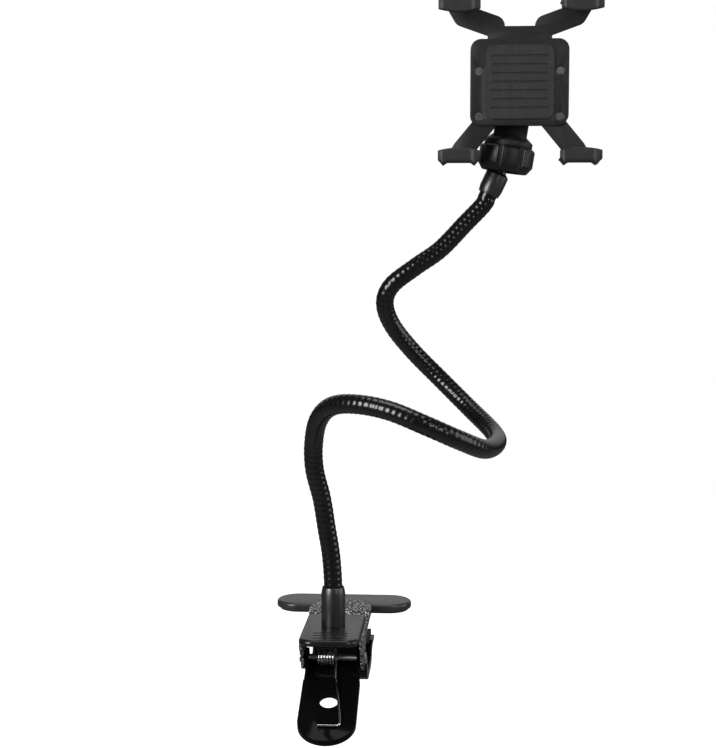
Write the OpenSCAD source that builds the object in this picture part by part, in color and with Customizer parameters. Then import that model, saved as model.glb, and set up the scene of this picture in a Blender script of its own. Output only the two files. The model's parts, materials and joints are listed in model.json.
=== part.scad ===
// Phone holder: a sprung table clamp, a bendable hose and a four-claw cradle.
// The origin is the middle of the grip face under the cross bar. X is right, Y is back, Z is up.

/* [Cross bar] */
// Length of the cross bar that lies on the table
bar_length = 69; // [50:1:90]
// Width of the cross bar, front to back
bar_width = 23; // [18:1:26]
// Thickness of the cross bar over its rubber sole
bar_thick = 3.6; // [3:0.1:6]
// Thickness of the rubber sole under the cross bar
sole_thick = 1.2; // [0.8:0.1:2]

/* [Clamp frame] */
// Outer width of the pressed frame
frame_width = 29.4; // [26:0.2:34]
// Sheet thickness of the frame's ears and sides
frame_wall = 1.4; // [1:0.1:2]
// Length of the frame in front of the cross bar
frame_length = 68; // [60:1:80]
// Distance from the bar's centre forward to the pivot pin
pin_forward = 66; // [60:1:70]
// Depth of the pivot pin below the table top
pin_drop = 7; // [6:0.5:9]
// Diameter of the pivot pin
pin_d = 3; // [2.4:0.1:4]
// Thickness of the board in the clamp
board_thick = 13; // [8:0.5:18]

/* [Thumb plate] */
// Width of the thumb plate
plate_width = 28; // [24:0.5:32]
// Length of the thumb plate
plate_length = 50; // [44:1:54]
// Distance from the cross bar to the thumb plate
plate_setback = 31; // [28:1:34]
// Thickness of the thumb plate
plate_thick = 3; // [2:0.2:4]

/* [Lever] */
// Width of the lever's handle
lever_width = 26.6; // [23:0.2:28]
// Length of the handle from the pin to its tip
lever_reach = 52; // [46:1:60]
// Angle of the handle below level
lever_slope = 23; // [18:1:28]
// Sheet thickness of the lever
lever_wall = 1.6; // [1.2:0.1:2]
// Diameter of the round hole in the handle
lever_hole_d = 8.6; // [5:0.2:11]
// Distance from the pin to the round hole
lever_hole_reach = 26; // [22:0.5:30]
// Width of the rear jaw arm
jaw_width = 30; // [24:1:34]

/* [Spring] */
// Wire diameter of the torsion spring
wire_d = 1.25; // [0.9:0.05:1.3]
// Outer diameter of the torsion spring
coil_d = 8.7; // [7.5:0.1:8.8]
// Number of full turns of the torsion spring
coil_turns = 6; // [4:1:7]

/* [Hose] */
// Outer diameter of the bendable hose
hose_d = 8.8; // [7:0.1:10]
// Depth of the groove between two ribs of the hose
rib_depth = 0.35; // [0.1:0.05:0.5]
// Distance from one rib of the hose to the next
rib_pitch = 2.2; // [2.2:0.1:9]
// Diameter of the metal ferrules at the hose's ends
ferrule_d = 11.3; // [10:0.1:13]
// Length of the straight part of the lower ferrule
base_ferrule_length = 15.5; // [10:0.5:20]
// Length of the straight part of the upper ferrule
top_ferrule_length = 8.5; // [6:0.5:12]

/* [Ball joint] */
// Diameter of the ball
ball_d = 13; // [10:0.5:14]
// Lean of the ball's stem away from upright, to the left
stem_lean = 25; // [10:1:30]
// Lean of the swivel arm away from upright, to the left
arm_lean = 9; // [0:1:12]
// Diameter over the lobes of the lock nut
nut_d = 26.6; // [24:0.2:30]
// Height of the lock nut
nut_height = 12; // [10:0.5:16]
// Number of lobes on the lock nut
nut_lobes = 8; // [5:1:12]

/* [Cradle] */
// Opening between the lower and the upper claws
phone_gap = 71; // [64:1:80]
// Thickness of the device that the claws take
phone_thick = 7.7; // [6:0.1:10]
// Distance from the cradle's centre line to the middle of a claw
claw_offset = 28.2; // [24:0.2:32]
// Width of a claw's rubber boot
claw_width = 19.4; // [16:0.2:22]
// Height of the claw's lip over the phone's edge
lip_height = 4.6; // [3:0.1:7]
// Thickness of the rubber boot's lip
lip_thick = 2.6; // [2.2:0.1:3.5]
// Width of the cradle's housing
housing_width = 46; // [42:1:52]
// Height of the cradle's housing
housing_height = 40; // [36:1:44]
// Diameter of the round hub on the back of the housing
hub_d = 40; // [36:1:42]

/* [Hidden] */
$fn = 64;
play = 0.05;
gap = 0.3;
screw_d = 4;
screw_clearance = 0.4;

frame_top = sole_thick + bar_thick + 0.2;
frame_web = 2;
ear_r = 5.6;
over_table = 0.4;
bar_front = -bar_width / 2;
table_edge = bar_front - 30;
frame_front = bar_front - frame_length;
pin = [0, -pin_forward, -pin_drop];
tongue_width = 20;
tongue_thick = 1.6;
tongue_end = 6;
head_thick = 1.8;
head_lap = 2;
head_length = 20;
head_flare = 0.7;

plate_top = frame_top + plate_thick;
plate_rear = bar_front - plate_setback;
plate_front = plate_rear - plate_length;
groove_pitch = 4.5;
groove_length = 16;
groove_r = 0.9;

lever_rim = 3.2;
rim_wall = 1.4;
rim_start = 11;
ear_gap_width = frame_width - 2 * frame_wall - 2 * gap;
web_drop = coil_d / 2 + 0.15;
sheet_middle = -web_drop - lever_wall / 2 - 0.12;
pad_thick = 3.2;
pad_width = 26.8;
pad_length = 17;
pad_front = -8;
jaw_top = -board_thick - pad_thick;
jaw_drop = 8.4;
jaw_low = jaw_top - jaw_drop;
jaw_flange = 4;
jaw_neck = 10;
ear_step = 0.2;

coil_r = (coil_d - wire_d) / 2;
coil_pitch = wire_d + 0.1;
coil_x = -2.8;
leg_reach = 43;
hook_length = 10;
hook_r = 2;
turn_steps = 20;
coil_start = coil_x + coil_turns * coil_pitch / 2;
leg_slope = -90 + lever_slope;
coil_end_angle = leg_slope + 360 * coil_turns + 92;

ferrule_y = -64;
ferrule_floor = 3;
cone_length = 3;
cone_top_d = hose_d + 1.4;

ball = [80.6, -22, 229.6];
stem_gap = 9;
top_ferrule_floor = 2;
stud_d = 5;
cup_wall = 1;
cup_open = 4;
cup_top = 4.5;
socket_r = 9.7;
collar_r = 11.6;
nut_top = 4.1;
flute_r = 1.6;
flute_depth = 1.2;

swivel_reach = 33.3;
cradle_x = ball[0] + swivel_reach * sin(arm_lean);
cradle_z = ball[2] + swivel_reach * cos(arm_lean);
hub_back = ball[1] - 8.2;
washer_thick = 0.5;
arm_front = hub_back + washer_thick;
arm_thick = 5;
arm_width = 16;
disc_r = 11;
screw_head_r = 4;
screw_head_sunk = 2.2;

cushion_thick = 1;
cover_thick = 1.6;
tray_depth = 4.2;
hub_height = 5.8;
tray_front = cushion_thick + cover_thick;
tray_back = tray_front + tray_depth;
seat_y = hub_back - tray_back - hub_height;
slide_thick = 2.6;
slide_width = 30;
slide_slack = 0.1;
slide_top = 26;
slide_low = -6;
arm_notch = 10;
arm_r = 5;
half_gap = phone_gap / 2;
core_thick = 1;
core_width = claw_width - 6;
boot_skin = 0.6;
saddle_thick = 2 * boot_skin + core_thick - 0.2;
saddle_flare = 2.2;
lip_drop = 1.3;
lip_flare = 0.9;
spring_x = 8;
spring_wire = 0.7;
spring_coil_d = 4.7;
post_y = 1.5;
post_r = 1.2;
pocket_low = -16.5;
pocket_depth = 8.4;
small_screw_d = 2;
small_head_d = 3.8;
screw_x = housing_width / 2 - 4;
screw_places = [for (y = [4 - housing_height / 2, arm_notch - 5]) for (s = [-1, 1]) [s * screw_x, y]];

// Middle line of the hose, from inside the lower ferrule to inside the upper one
HOSE = [[0, ferrule_y, plate_top + ferrule_floor + gap], [0, ferrule_y, plate_top + 18],
    [-1, -64, 41], [-3, -65, 54.5], [-5, -67, 68.5], [-8, -71, 83], [-8, -75, 95.5], [-5, -83, 107.5],
    [2, -93, 115], [13.5, -102, 117], [28.5, -109, 115], [44.5, -112, 109], [59, -106, 102],
    [70, -90, 96], [76, -65, 95.5], [74.5, -43, 98], [63.5, -24, 107], [49.5, -15, 120],
    [35.5, -14, 134], [25.5, -18, 147], [22, -24, 158], [25.5, -27, 167], [37, -27, 176],
    [49, -25, 184.5], [61, -23, 197], along_stem(26), along_stem(21),
    along_stem(stem_gap + top_ferrule_floor + gap)];

function unit(v) = v / norm(v);
function along_stem(s) = ball - s * [sin(stem_lean), 0, cos(stem_lean)];

// Smooth curve through the middle four points
function curve(a, b, c, d, t) =
    0.5 * (2 * b + (c - a) * t + (2 * a - 5 * b + 4 * c - d) * t * t + (3 * b - a - 3 * c + d) * t * t * t);
function hose_steps(i) = 2 * max(1, round(norm(HOSE[i + 1] - HOSE[i]) / rib_pitch));
function first_ring(k) = k == 0 ? 0 : first_ring(k - 1) + hose_steps(k - 1);
last_knot = len(HOSE) - 1;
hose_line = [
    for (i = [0:last_knot - 1])
        for (j = [0:hose_steps(i) - 1])
            curve(HOSE[max(i - 1, 0)], HOSE[i], HOSE[i + 1], HOSE[min(i + 2, last_knot)],
                j / hose_steps(i)),
    HOSE[last_knot]];

function heading(line, i) = unit(line[min(i + 1, len(line) - 1)] - line[max(i - 1, 0)]);
function square_to(u, t) = unit(u - (u * t) * t);
function side_normals(line, first) = [
    for (i = 0, u = square_to(first, heading(line, 0)); i < len(line);
        i = i + 1, u = square_to(u, heading(line, min(i, len(line) - 1)))) u];
hose_normals = side_normals(hose_line, [1, 0, 0]);

// Solid tube through rings a to b of a line, with one radius for each ring
module tube(line, normals, radii, a, b, sides) {
    rings = [for (i = [a:b])
        let (t = heading(line, i), u = normals[i], v = cross(t, u))
            for (j = [0:sides - 1])
                line[i] + radii[i] * (cos(360 * j / sides) * u + sin(360 * j / sides) * v)];
    count = b - a + 1;
    walls = [for (i = [0:count - 2]) for (j = [0:sides - 1])
        let (k = (j + 1) % sides, p = i * sides, q = p + sides)
            each [[p + j, q + j, q + k], [p + j, q + k, p + k]]];
    start = [for (j = [0:sides - 1]) j];
    end = [for (j = [sides - 1:-1:0]) (count - 1) * sides + j];
    polyhedron(points = rings, faces = concat([start], walls, [end]), convexity = 8);
}

module hose(from_knot, to_knot) {
    radii = [for (i = [0:len(hose_line) - 1]) hose_d / 2 - (i % 2) * rib_depth];
    tube(hose_line, hose_normals, radii, first_ring(from_knot), first_ring(to_knot), 10);
}

// Flat stadium outline
module stadium(length, width) {
    for (s = [-1, 1])
        translate([s * (length - width) / 2, 0])
            circle(d = width);
    square([length - width, width], center = true);
}

// Stadium block with a rounded upper edge
module soft_stadium(length, width, thick, edge) {
    hull() {
        linear_extrude(thick - edge) stadium(length, width, $fn = 48);
        translate([0, 0, thick - edge * 0.3]) linear_extrude(0.01) stadium(length, width - edge * 0.6, $fn = 48);
        translate([0, 0, thick - 0.01]) linear_extrude(0.01)
            stadium(length - edge * 1.4, width - edge * 2, $fn = 48);
    }
}

// Extrudes a Y-Z outline along X, centred
module along_x(width) {
    rotate([90, 0, 90]) linear_extrude(width, center = true) children();
}

// Band of sheet along a path, a to the left of it and b to the right, between two of its points
function path_normal(p, i) =
    let (d = unit(p[min(i + 1, len(p) - 1)] - p[max(i - 1, 0)])) [-d[1], d[0]];
module band(p, a, b, from, to) {
    left = [for (i = [from:to]) p[i] + a * path_normal(p, i)];
    right = [for (i = [to:-1:from]) p[i] - b * path_normal(p, i)];
    polygon(concat(left, right));
}

module rounded_plate(width, height, r) {
    translate([-width / 2 + r, -height / 2]) square([width - 2 * r, height]);
    translate([-width / 2, -height / 2 + r]) square([width, height - 2 * r]);
    for (sx = [-1, 1]) for (sy = [-1, 1])
        translate([sx * (width / 2 - r), sy * (height / 2 - r)]) circle(r);
}

module wing_bar() {
    color("#26272a") difference() {
        translate([0, 0, sole_thick]) soft_stadium(bar_length, bar_width, bar_thick, 1.4);
        translate([-tongue_width / 2 - play, bar_front - 1, sole_thick - 1])
            cube([tongue_width + 2 * play, tongue_end - bar_front + 1 + play, tongue_thick + 1 + play]);
    }
}

module bar_sole() {
    color("#1b1b1c") linear_extrude(sole_thick) stadium(bar_length - 3, bar_width - 3);
}

module clamp_frame() {
    color("#2c2d2f") difference() {
        union() {
            intersection() {
                translate([0, bar_front, 0]) rotate([90, 0, 0]) linear_extrude(frame_length)
                    frame_section();
                along_x(frame_width + 1) frame_side();
            }
            translate([-tongue_width / 2, bar_front - 2, sole_thick])
                cube([tongue_width, 2, frame_top - sole_thick - 1]);
            translate([-tongue_width / 2, bar_front - 2, sole_thick])
                cube([tongue_width, tongue_end - bar_front + 2, tongue_thick]);
            frame_head();
        }
        translate(pin) rotate([0, 90, 0]) cylinder(d = pin_d + 2 * play, h = frame_width + 2, center = true);
        translate([0, ferrule_y, -1]) cylinder(d = screw_d + screw_clearance, h = frame_top + 2);
    }
}

// Raised end of the frame that laps over the bar's front edge
module frame_head() {
    wide = frame_width / 2 + head_flare;
    narrow = wide - 3;
    bar_top = sole_thick + bar_thick;
    front = bar_front - head_length;
    difference() {
        translate([0, 0, frame_top - 0.8]) linear_extrude(bar_top + head_thick - frame_top + 0.8)
            polygon([[-wide + 0.6, front], [wide - 0.6, front], [wide, front + 4], [wide, front + 8],
                [narrow + 0.9, bar_front - 1.4], [narrow, bar_front + head_lap],
                [-narrow, bar_front + head_lap], [-narrow - 0.9, bar_front - 1.4],
                [-wide, front + 8], [-wide, front + 4]]);
        translate([-frame_width, bar_front, 0]) cube([2 * frame_width, bar_width, bar_top + play]);
    }
}

// Upside-down channel with rounded shoulders
module frame_section() {
    shoulder = 2;
    low = -pin_drop - ear_r - 1;
    difference() {
        union() {
            translate([-frame_width / 2, low]) square([frame_width, frame_top - shoulder - low]);
            translate([-frame_width / 2 + shoulder, 0]) square([frame_width - 2 * shoulder, frame_top]);
            for (s = [-1, 1])
                translate([s * (frame_width / 2 - shoulder), frame_top - shoulder]) circle(shoulder);
        }
        translate([-frame_width / 2 + frame_wall, low - 1])
            square([frame_width - 2 * frame_wall, frame_top - frame_web - low + 1]);
    }
}

// Side view of the frame: over the table edge, then down to the pin's ears
module frame_side() {
    polygon([[frame_front, frame_top + 1], [bar_front + 1, frame_top + 1], [bar_front + 1, over_table],
        [table_edge, over_table], [pin[1] + 11, pin[2] + 3], [pin[1] + 4, pin[2] - 3.9],
        [pin[1] - 4, pin[2] - 3.9], [pin[1] - 8, pin[2] + 3], [frame_front, 1]]);
    translate([pin[1], pin[2]]) circle(ear_r);
}

module thumb_plate() {
    color("#1d1d1f") difference() {
        translate([0, (plate_front + plate_rear) / 2, frame_top]) hull() {
            plate_outline(0.5, 0.01);
            translate([0, 0, 0.5]) plate_outline(0, plate_thick - 1.3);
            translate([0, 0, plate_thick - 0.35]) plate_outline(0.25, 0.01);
            translate([0, 0, plate_thick - 0.01]) plate_outline(0.9, 0.01);
        }
        for (i = [1:3])
            translate([0, plate_front + i * groove_pitch, plate_top + 0.35])
                rotate([0, 90, 0]) cylinder(r = groove_r, h = groove_length, center = true);
        translate([0, ferrule_y, frame_top - 1]) cylinder(d = screw_d + screw_clearance, h = plate_thick + 2);
    }
}

module plate_outline(inset, thick) {
    corner = 7;
    w = plate_width / 2 - inset;
    l = plate_length / 2 - inset;
    linear_extrude(thick) hull() {
        for (s = [-1, 1]) {
            translate([s * (w - corner), -l + corner]) circle(corner, $fn = 40);
            translate([s * (w - 1), l - 1]) circle(1, $fn = 16);
        }
    }
}

// Places children in the lever's own frame: X across, Y towards the tip, Z up from the sheet
module at_lever() {
    translate(pin) rotate([lever_slope, 0, 0]) mirror([0, 1, 0]) children();
}

function lever_point(a, b) = [-pin_forward - a * cos(lever_slope) - b * sin(lever_slope),
    -pin_drop - a * sin(lever_slope) + b * cos(lever_slope)];

// Middle line of the rear jaw's sheet, from the ears down, back under the board and up to the pad
jaw_fall = pin[2] - jaw_low;
jaw_rise = jaw_drop - lever_wall / 2;
jaw_path = concat(
    [lever_point(-1, sheet_middle), lever_point(-5.5, sheet_middle)],
    [for (q = [[11.5, 0.2], [14.2, 0.354], [17, 0.6], [20, 0.82], [24, 0.956], [29, 1]])
        [pin[1] + q[0], pin[2] - q[1] * jaw_fall]],
    [for (q = [[-20, 0], [-15, 0.1], [-12, 0.33], [-10, 0.65], [-7.4, 0.9]])
        [q[0], jaw_low + q[1] * jaw_rise]],
    [for (y = [-3.4, pad_front + pad_length]) [y, jaw_top - lever_wall / 2]]);

module lower_lever() {
    last = len(jaw_path) - 1;
    color("#0b0b0c") difference() {
        union() {
            at_lever() translate([0, 0, -web_drop - lever_wall]) {
                linear_extrude(lever_wall) handle_outline(0);
                translate([0, 0, lever_wall - lever_rim]) linear_extrude(lever_rim) difference() {
                    handle_outline(0);
                    handle_outline(rim_wall);
                    translate([-20, rim_start - 22]) square([40, 20]);
                }
            }
            for (s = [-1, 1])
                translate([s * ((ear_gap_width - rim_wall) / 2 - ear_step), 0, 0])
                    along_x(rim_wall) lever_ear();
            difference() {
                union() {
                    along_x(jaw_width) band(jaw_path, lever_wall / 2, lever_wall / 2, 0, last);
                    for (s = [-1, 1])
                        translate([s * (jaw_width - rim_wall) / 2, 0, 0]) along_x(rim_wall)
                            band(jaw_path, jaw_flange, lever_wall / 2, 3, last - 2);
                }
                for (s = [-1, 1])
                    translate([s * (ear_gap_width / 2 - 2 * ear_step + 10), pin[1] + jaw_neck - 20, pin[2]])
                        cube([20, 40, 60], center = true);
            }
        }
        translate(pin) rotate([0, 90, 0]) cylinder(d = pin_d + 2 * play, h = frame_width + 2, center = true);
        at_lever() translate([0, lever_hole_reach, -web_drop - 5]) cylinder(d = lever_hole_d, h = 8);
    }
}

module handle_outline(inset) {
    w = lever_width - 2 * inset;
    e = ear_gap_width - 2 * inset;
    r = w / 2;
    translate([0, lever_reach - inset - r]) circle(r);
    translate([-r, rim_start]) square([w, lever_reach - inset - r - rim_start]);
    translate([-e / 2, -6]) square([e, 18]);
}

module lever_ear() {
    translate([pin[1], pin[2]]) circle(4.4);
    polygon([lever_point(-5, sheet_middle), lever_point(-4, 1), lever_point(4, 1),
        lever_point(9, sheet_middle)]);
}

module jaw_pad() {
    color("#1b1b1c") difference() {
        translate([-pad_width / 2, pad_front, jaw_top]) cube([pad_width, pad_length, pad_thick]);
        for (y = [2, 4, pad_length - 4, pad_length - 2])
            translate([0, pad_front + y, -board_thick]) rotate([0, 90, 0])
                cylinder(r = 0.6, h = pad_width + 2, center = true, $fn = 16);
    }
}

module pivot_pin() {
    color("#b9bcc0") translate(pin) rotate([0, 90, 0]) {
        cylinder(d = pin_d, h = frame_width + 1.6, center = true);
        for (s = [-1, 1])
            translate([0, 0, s * (frame_width / 2 + 0.5)]) cylinder(d = pin_d + 2.2, h = 1, center = true);
    }
}

// Spring wire: hook, long leg down the handle, coil on the pin, short leg to the frame
function yz(x, p) = [x, p[0], p[1]];
function coil_point(angle) = [coil_start - coil_pitch * (angle - leg_slope) / 360,
    pin[1] + coil_r * cos(angle), pin[2] + coil_r * sin(angle)];
spring_hook = [
    yz(coil_start - hook_length, lever_point(leg_reach, -coil_r)),
    for (i = [0:4]) yz(coil_start - hook_r + hook_r * sin(22.5 * i),
        lever_point(leg_reach - hook_r + hook_r * cos(22.5 * i), -coil_r))];
spring_leg = [for (a = [36:-9:9]) yz(coil_start, lever_point(a, -coil_r))];
spring_coil = [for (i = [0:coil_turns * turn_steps + 5])
    coil_point(leg_slope + (coil_end_angle - leg_slope) * i / (coil_turns * turn_steps + 5))];
coil_end = coil_point(coil_end_angle);
spring_tail = [for (s = [2, 6.2]) coil_end + s * [0, -sin(coil_end_angle), cos(coil_end_angle)]];

module torsion_spring() {
    bent = concat(spring_hook, spring_leg);
    line = concat(bent, spring_coil, spring_tail);
    flat_normal = unit(cross([1, 0, 0], [0, cos(lever_slope), sin(lever_slope)]));
    normals = [for (i = [0:len(line) - 1]) i < len(bent)
        ? unit(cross(flat_normal, heading(line, i)))
        : square_to([1, 0, 0], heading(line, i))];
    radii = [for (p = line) wire_d / 2];
    color("#b9bcc0") tube(line, normals, radii, 0, len(line) - 1, 6);
}

module base_ferrule() {
    color("#1a1a1c") translate([0, ferrule_y, plate_top]) difference() {
        union() {
            cylinder(d = ferrule_d, h = base_ferrule_length);
            translate([0, 0, base_ferrule_length])
                cylinder(d1 = ferrule_d, d2 = cone_top_d, h = cone_length);
        }
        translate([0, 0, ferrule_floor])
            cylinder(d = hose_d + 2 * gap, h = base_ferrule_length + cone_length);
        translate([0, 0, -1]) cylinder(d = screw_d + 2 * play, h = ferrule_floor + 2);
    }
}

module ferrule_screw() {
    color("#b9bcc0") translate([0, ferrule_y, frame_top - frame_web]) {
        cylinder(d = screw_d, h = frame_web + plate_thick + ferrule_floor - 0.5);
        translate([0, 0, -2]) difference() {
            cylinder(d = 7.4, h = 2);
            translate([-0.5, -5, -0.1]) cube([1, 10, 1.1]);
            translate([-5, -0.5, -0.1]) cube([10, 1, 1.1]);
        }
    }
}

module hose_riser() { color("#161617") hose(0, 6); }
module hose_lower_bend() { color("#161617") hose(6, 8); }
module hose_front_run() { color("#161617") hose(8, 13); }
module hose_right_bend() { color("#161617") hose(13, 15); }
module hose_cross_run() { color("#161617") hose(15, 19); }
module hose_upper_bend() { color("#161617") hose(19, 21); }
module hose_top_run() { color("#161617") hose(21, last_knot); }

// Places children at the ball, with Z along the stem
module at_stem() {
    translate(ball) rotate([0, stem_lean, 0]) children();
}

// Places children at the ball, with Z along the swivel arm
module at_arm() {
    translate(ball) rotate([0, arm_lean, 0]) children();
}

module top_ferrule() {
    color("#1a1a1c") at_stem() translate([0, 0, -stem_gap]) mirror([0, 0, 1]) difference() {
        union() {
            cylinder(d1 = ferrule_d - 2.4, d2 = ferrule_d, h = 1.2);
            translate([0, 0, 1.2]) cylinder(d = ferrule_d, h = top_ferrule_length - 1.2);
            translate([0, 0, top_ferrule_length])
                cylinder(d1 = ferrule_d, d2 = cone_top_d, h = cone_length);
        }
        translate([0, 0, top_ferrule_floor]) cylinder(d = hose_d + 2 * gap, h = 20);
        translate([0, 0, -1]) cylinder(d = stud_d + 2 * play, h = top_ferrule_floor + 2);
    }
}

module ball_stud() {
    color("#8d9094") at_stem() {
        sphere(d = ball_d);
        translate([0, 0, -stem_gap - 2]) cylinder(d = stud_d, h = stem_gap);
        translate([0, 0, -stem_gap]) cylinder(d1 = 8, d2 = stud_d, h = 4);
    }
}

module ball_cup() {
    color("#3a3b3d") at_stem() difference() {
        sphere(d = ball_d + 2 * play + 2 * cup_wall);
        sphere(d = ball_d + 2 * play);
        translate([0, 0, -cup_open - 10]) cylinder(r = 20, h = 10);
        translate([0, 0, cup_top]) cylinder(r = 20, h = 10);
    }
}

module swivel_arm() {
    socket_top = nut_top + 0.3;
    color("#17181a") difference() {
        union() {
            at_arm() translate([0, 0, -cup_open]) cylinder(r = socket_r, h = socket_top + cup_open);
            at_arm() translate([0, 0, socket_top]) cylinder(r = collar_r, h = 2.4);
            at_arm() translate([0, 0, socket_top + 2.4]) cylinder(r1 = collar_r, r2 = 8, h = 3);
            at_swivel() translate([0, 0, arm_front]) cylinder(r = disc_r, h = arm_thick);
            at_swivel() translate([-arm_width / 2, -swivel_reach + 8, arm_front])
                cube([arm_width, swivel_reach - 8, arm_thick]);
            for (s = [-1, 1])
                at_swivel() translate([s * 5 - 1, -swivel_reach + 8, arm_front + arm_thick])
                    cube([2, 15, 2.5]);
        }
        at_arm() sphere(d = ball_d + 4 * play + 2 * cup_wall);
        at_swivel() translate([0, 0, arm_front - 1]) cylinder(d = screw_d + 2 * play, h = arm_thick + 2);
        at_swivel() translate([0, 0, arm_front + arm_thick - screw_head_sunk])
            cylinder(r = screw_head_r + 0.6, h = 4);
    }
}

// Swivel centre, Z pointing back, Y up along the arm
module at_swivel() {
    translate([cradle_x, 0, cradle_z]) rotate([0, arm_lean, 0]) rotate([90, 0, 0]) mirror([0, 0, 1])
        children();
}

module lock_nut() {
    r = nut_d / 2;
    bore = socket_r + play;
    color("#141415") at_arm() translate([0, 0, nut_top - nut_height]) difference() {
        rotate_extrude()
            polygon([[bore, 0], [r - 2.4, 0], [r, 3.4], [r, nut_height - 1], [r - 1, nut_height],
                [bore, nut_height]]);
        for (i = [0:nut_lobes - 1])
            rotate([0, 0, -103 + i * 360 / nut_lobes]) translate([r + flute_r - flute_depth, 0, -1])
                cylinder(r = flute_r, h = nut_height + 2);
    }
}

module friction_washer() {
    color("#a9acb0") at_swivel() translate([0, 0, hub_back]) difference() {
        cylinder(r = 8, h = washer_thick);
        translate([0, 0, -1]) cylinder(d = screw_d + screw_clearance, h = 3);
    }
}

module swivel_screw() {
    head = arm_front + arm_thick - screw_head_sunk;
    color("#b9bcc0") at_swivel() {
        translate([0, 0, hub_back - 4]) cylinder(d = screw_d, h = head - hub_back + 4);
        translate([0, 0, head]) difference() {
            cylinder(r = screw_head_r, h = 2);
            for (a = [0, 90])
                rotate([0, 0, a]) translate([-0.6, -4.5, 1]) cube([1.2, 9, 2]);
        }
    }
}

// Places children at the cradle's centre: X right, Y up, Z back, zero at the phone's back
module at_cradle() {
    translate([cradle_x, seat_y, cradle_z]) rotate([90, 0, 0]) mirror([0, 0, 1]) children();
}

module rear_housing() {
    hub_chamfer = 1.2;
    color("#17181a") at_cradle() difference() {
        union() {
            translate([0, 0, tray_front]) linear_extrude(tray_depth)
                rounded_plate(housing_width, housing_height, 5);
            translate([0, 0, tray_back - 0.01]) cylinder(d = hub_d, h = hub_height - hub_chamfer);
            translate([0, 0, tray_back + hub_height - hub_chamfer - 0.01])
                cylinder(d1 = hub_d, d2 = hub_d - 3, h = hub_chamfer + 0.01);
            for (s = [-1, 1])
                claw_arm(s, -1, housing_height / 2 - 6, 0);
        }
        translate([-slide_width / 2 - gap, slide_low - 11, tray_front - 1])
            cube([slide_width + 2 * gap, housing_height, slide_thick + 1 + gap]);
        translate([-housing_width / 2 - 1, arm_notch, tray_front - 1])
            cube([housing_width + 2, housing_height, slide_thick + 1 + gap]);
        for (s = [-1, 1])
            translate([s * spring_x - spring_coil_d / 2 - 0.8, pocket_low, tray_front])
                cube([spring_coil_d + 1.6, 32, pocket_depth]);
        for (p = screw_places)
            translate([p[0], p[1], tray_front - 1]) cylinder(d = small_screw_d + 2 * play, h = 4);
        translate([0, 0, tray_back]) cylinder(d = screw_d + 2 * play, h = 30);
    }
}

// Arm from the cradle's body to a claw, sx right or left, sy up or down, and the claw's core
module claw_arm(sx, sy, root, slack) {
    y = half_gap + boot_skin;
    elbow = [sx * (claw_offset - 2), sy * (y - arm_r)];
    translate([0, 0, tray_front + slack]) linear_extrude(slide_thick) {
        hull() {
            translate([sx * 12, sy * root]) circle(arm_r, $fn = 32);
            translate(elbow) circle(arm_r, $fn = 32);
        }
        hull() {
            translate(elbow) circle(arm_r, $fn = 32);
            translate([sx * claw_offset - core_width / 2, sy > 0 ? y : -y - core_thick])
                square([core_width, core_thick]);
        }
    }
    translate([sx * claw_offset, 0, 0]) claw_core(sy, tray_front + slack + 1, 0);
}

// J-shaped core of a claw, grown by grow for the boot's pocket
module claw_core(sy, back, grow) {
    front = -phone_thick - boot_skin - core_thick;
    low = half_gap + boot_skin - grow;
    tip = half_gap - lip_height + 2.2 - grow;
    high = half_gap + boot_skin + core_thick + grow;
    mirror([0, sy > 0 ? 0 : 1, 0]) {
        translate([-core_width / 2 - grow, low, front - grow])
            cube([core_width + 2 * grow, high - low, back - front + 2 * grow]);
        translate([-core_width / 2 - grow, tip, front - grow])
            cube([core_width + 2 * grow, high - tip, core_thick + 2 * grow]);
    }
}

// Circle that rises by rise at the ends of a claw's width, tangent at the middle
function flare_r(rise) = claw_width * claw_width / (8 * rise);

// Rubber boot over a claw: a saddle with flared sides and a lip over the phone's edge
module claw_boot(sx, sy) {
    top = half_gap + saddle_thick;
    lip = half_gap - lip_height;
    front = -phone_thick - lip_thick - lip_flare;
    back = tray_front - 0.2;
    at_cradle() translate([sx * claw_offset, 0, 0]) mirror([0, sy > 0 ? 0 : 1, 0]) difference() {
        translate([-claw_width / 2, lip, front])
            cube([claw_width, top + saddle_flare - lip, back - front]);
        translate([-claw_width / 2 - 1, lip - 1, -phone_thick])
            cube([claw_width + 2, lip_height + 1, phone_thick + back + 1]);
        translate([0, top + flare_r(saddle_flare), front - 1])
            cylinder(r = flare_r(saddle_flare), h = back - front + 2, $fn = 96);
        translate([0, lip - 1, -phone_thick - lip_thick - flare_r(lip_flare)]) rotate([-90, 0, 0])
            cylinder(r = flare_r(lip_flare), h = top + saddle_flare - lip + 2, $fn = 96);
        for (s = [-1, 1])
            translate([s * claw_width / 2, lip - 0.01, front - 1]) rotate([0, 0, s > 0 ? 45 : -135])
                translate([s > 0 ? -lip_drop : -lip_drop, -lip_drop, 0]) cube([2 * lip_drop, lip_drop, 6]);
        claw_core(1, tray_front + 2, play);
    }
}

module front_cover() {
    color("#1b1c1e") at_cradle() translate([0, 0, cushion_thick]) difference() {
        linear_extrude(cover_thick) rounded_plate(housing_width, housing_height, 5);
        for (p = screw_places)
            translate([p[0], p[1], 0]) {
                translate([0, 0, -1]) cylinder(d = small_screw_d + 2 * play, h = cover_thick + 2);
                translate([0, 0, -1]) cylinder(d = small_head_d + 0.2, h = 1.8);
            }
    }
}

module cover_screws() {
    color("#b9bcc0") at_cradle() for (p = screw_places)
        translate([p[0], p[1], cushion_thick]) {
            difference() {
                cylinder(d = small_head_d, h = 0.8);
                translate([-1.5, -0.3, -0.1]) cube([3, 0.6, 0.5]);
                translate([-0.3, -1.5, -0.1]) cube([0.6, 3, 0.5]);
            }
            cylinder(d = small_screw_d, h = 4.2);
        }
}

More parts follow.
